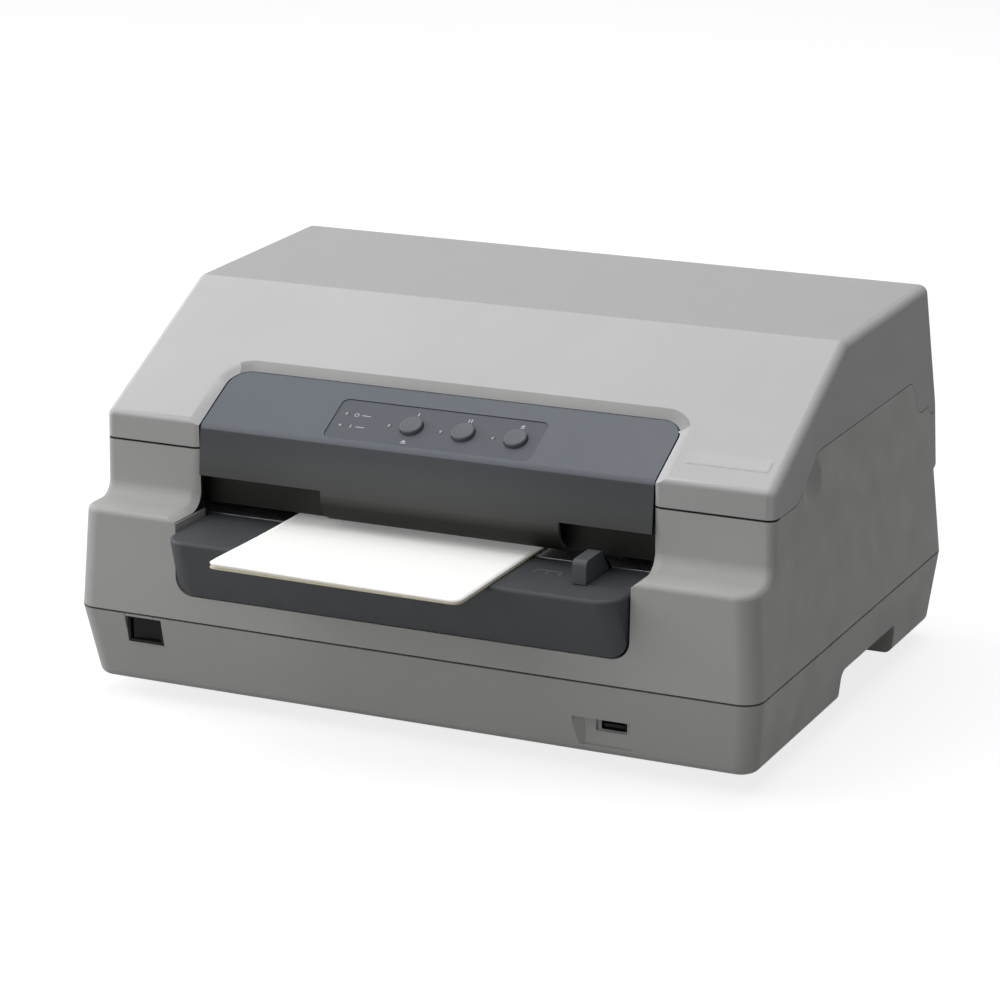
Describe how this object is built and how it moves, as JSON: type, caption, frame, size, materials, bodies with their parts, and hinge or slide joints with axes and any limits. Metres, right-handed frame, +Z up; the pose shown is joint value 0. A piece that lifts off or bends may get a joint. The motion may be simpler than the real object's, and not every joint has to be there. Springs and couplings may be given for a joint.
{
  "type": "dot matrix printer",
  "caption": "Flatbed dot matrix printer: rear-hinged cover, keys on a slate panel, front table with a passbook, rollers, geared feed and belt-driven head.",
  "frame": {"origin": "middle of the printer's and passbook's outer box, on the surface the feet stand on", "axes": "+X to the operator's right, +Y to the back, +Z up"},
  "size_m": [0.384, 0.327, 0.2029],
  "materials": {
    "case_grey": "fine textured moulding",
    "cover_grey": "fine textured moulding",
    "slate": "smooth moulding",
    "key_grey": "satin keys and membrane",
    "light": "translucent light caps",
    "table_grey": "fine textured moulding",
    "paper": "paper",
    "black": "moulded",
    "dark": "moulded",
    "rubber": "moulded",
    "steel": "zinc plated sheet",
    "shaft": "ground shafts and pins",
    "brass": "sintered",
    "gear": "moulded nylon",
    "motor": "can and flange",
    "board": "circuit board with parts",
    "teal": "knob"
  },
  "bodies": {
    "case": {"lower_case": "case_grey", "middle_case": "case_grey", "hinge_pins": "shaft", "control_panel": "slate", "panel_overlay": "key_grey", "status_lights": "light", "panel_board": "board", "front_table": "table_grey", "power_switch": "black", "front_port": "steel", "power_inlet": "black", "rear_ports": "steel", "rubber_feet": "rubber", "chassis_plate": "steel", "chassis_screws": "steel", "left_side_frame": "steel", "right_side_frame": "steel", "front_stay": "steel", "rear_stay": "steel", "upper_stay": "steel", "paper_guide": "steel", "upper_paper_guide": "dark", "platen": "dark", "shaft_bushings": "brass", "feed_motor": "motor", "idler_studs": "shaft", "carriage_rods": "shaft", "carriage_motor": "motor", "pulley_brackets": "steel", "carriage_belt": "rubber", "ribbon_cartridge": "dark", "ribbon": "black", "main_board": "board", "power_supply": "steel"},
    "cover": {"top_cover": "cover_grey"},
    "left_key": {"left_key": "key_grey"},
    "middle_key": {"middle_key": "key_grey"},
    "right_key": {"right_key": "key_grey"},
    "power_rocker": {"power_rocker": "black"},
    "edge_guide": {"edge_guide": "slate"},
    "passbook": {"passbook": "paper"},
    "front_feed": {"front_feed_shaft": "shaft", "front_feed_rollers": "rubber", "front_feed_gear": "gear"},
    "rear_feed": {"rear_feed_shaft": "shaft", "rear_feed_rollers": "rubber", "rear_feed_gear": "gear"},
    "front_pinch": {"front_pinch_roller": "rubber"},
    "rear_pinch": {"rear_pinch_roller": "rubber"},
    "feed_pinion": {"feed_pinion": "brass"},
    "front_idler": {"front_idler_gear": "gear"},
    "rear_idler": {"rear_idler_gear": "gear"},
    "carriage": {"carriage": "dark", "print_head": "motor"},
    "drive_pulley": {"drive_pulley": "gear"},
    "idler_pulley": {"idler_pulley": "gear"},
    "ribbon_knob": {"ribbon_knob": "teal"}
  },
  "joints": [
    {"name": "cover_hinge", "type": "hinge", "parent": "case", "child": "cover", "pos_m": [0, 0.149, 0.1375], "axis": [-1, 0, 0], "range_deg": [0, 65]},
    {"name": "left_key_press", "type": "slide", "parent": "case", "child": "left_key", "axis": [0, 0.461, -0.8874], "range_m": [0, 0.0008], "stiffness_N_per_m": 400, "springref_m": -0.001},
    {"name": "middle_key_press", "type": "slide", "parent": "case", "child": "middle_key", "axis": [0, 0.461, -0.8874], "range_m": [0, 0.0008], "stiffness_N_per_m": 400, "springref_m": -0.001},
    {"name": "right_key_press", "type": "slide", "parent": "case", "child": "right_key", "axis": [0, 0.461, -0.8874], "range_m": [0, 0.0008], "stiffness_N_per_m": 400, "springref_m": -0.001},
    {"name": "power_rocker_tip", "type": "hinge", "parent": "case", "child": "power_rocker", "pos_m": [-0.1516, -0.1079, 0.041], "axis": [0, 0, -1], "range_deg": [0, 14]},
    {"name": "edge_guide_slide", "type": "slide", "parent": "case", "child": "edge_guide", "axis": [1, 0, 0], "range_m": [-0.014, 0.014]},
    {"name": "passbook_feed", "type": "slide", "parent": "case", "child": "passbook", "axis": [0, 1, 0], "range_m": [-0.02, 0.07]},
    {"name": "front_feed_spin", "type": "hinge", "parent": "case", "child": "front_feed", "pos_m": [0, -0.0345, 0.0904], "axis": [1, 0, 0], "range_deg": [-530, 153]},
    {"name": "rear_feed_spin", "type": "hinge", "parent": "case", "child": "rear_feed", "pos_m": [0, 0.0855, 0.0904], "axis": [1, 0, 0], "range_deg": [-530, 153]},
    {"name": "front_pinch_spin", "type": "hinge", "parent": "case", "child": "front_pinch", "pos_m": [0, -0.0345, 0.1072], "axis": [1, 0, 0], "range_deg": [-193, 671]},
    {"name": "rear_pinch_spin", "type": "hinge", "parent": "case", "child": "rear_pinch", "pos_m": [0, 0.0855, 0.1072], "axis": [1, 0, 0], "range_deg": [-193, 671]},
    {"name": "feed_pinion_spin", "type": "hinge", "parent": "case", "child": "feed_pinion", "pos_m": [-0.16, 0.0255, 0.0776], "axis": [1, 0, 0], "range_deg": [-1058, 304]},
    {"name": "front_idler_spin", "type": "hinge", "parent": "case", "child": "front_idler", "pos_m": [-0.16, -0.00186, 0.07821], "axis": [1, 0, 0], "range_deg": [-116, 398]},
    {"name": "rear_idler_spin", "type": "hinge", "parent": "case", "child": "rear_idler", "pos_m": [-0.16, 0.05287, 0.07821], "axis": [1, 0, 0], "range_deg": [-116, 398]},
    {"name": "carriage_slide", "type": "slide", "parent": "case", "child": "carriage", "axis": [1, 0, 0], "range_m": [-0.084, 0.084]},
    {"name": "drive_pulley_spin", "type": "hinge", "parent": "case", "child": "drive_pulley", "pos_m": [-0.137, 0.0835, 0.136], "axis": [0, 0, 1], "range_deg": [-562, 562]},
    {"name": "idler_pulley_spin", "type": "hinge", "parent": "case", "child": "idler_pulley", "pos_m": [0.137, 0.0835, 0.136], "axis": [0, 0, 1], "range_deg": [-562, 562]},
    {"name": "ribbon_knob_spin", "type": "hinge", "parent": "case", "child": "ribbon_knob", "pos_m": [-0.1, -0.02375, 0.15], "axis": [0, 0, 1], "continuous": true}
  ],
  "couplings": [
    {"joint": "front_feed_spin", "follows": "passbook_feed", "rad_per_m": -131.58},
    {"joint": "rear_feed_spin", "follows": "passbook_feed", "rad_per_m": -131.58},
    {"joint": "front_pinch_spin", "follows": "passbook_feed", "rad_per_m": 166.67},
    {"joint": "rear_pinch_spin", "follows": "passbook_feed", "rad_per_m": 166.67},
    {"joint": "feed_pinion_spin", "follows": "passbook_feed", "rad_per_m": -263.16},
    {"joint": "front_idler_spin", "follows": "passbook_feed", "rad_per_m": 98.684},
    {"joint": "rear_idler_spin", "follows": "passbook_feed", "rad_per_m": 98.684},
    {"joint": "drive_pulley_spin", "follows": "carriage_slide", "rad_per_m": 116.28},
    {"joint": "idler_pulley_spin", "follows": "carriage_slide", "rad_per_m": 116.28}
  ]
}
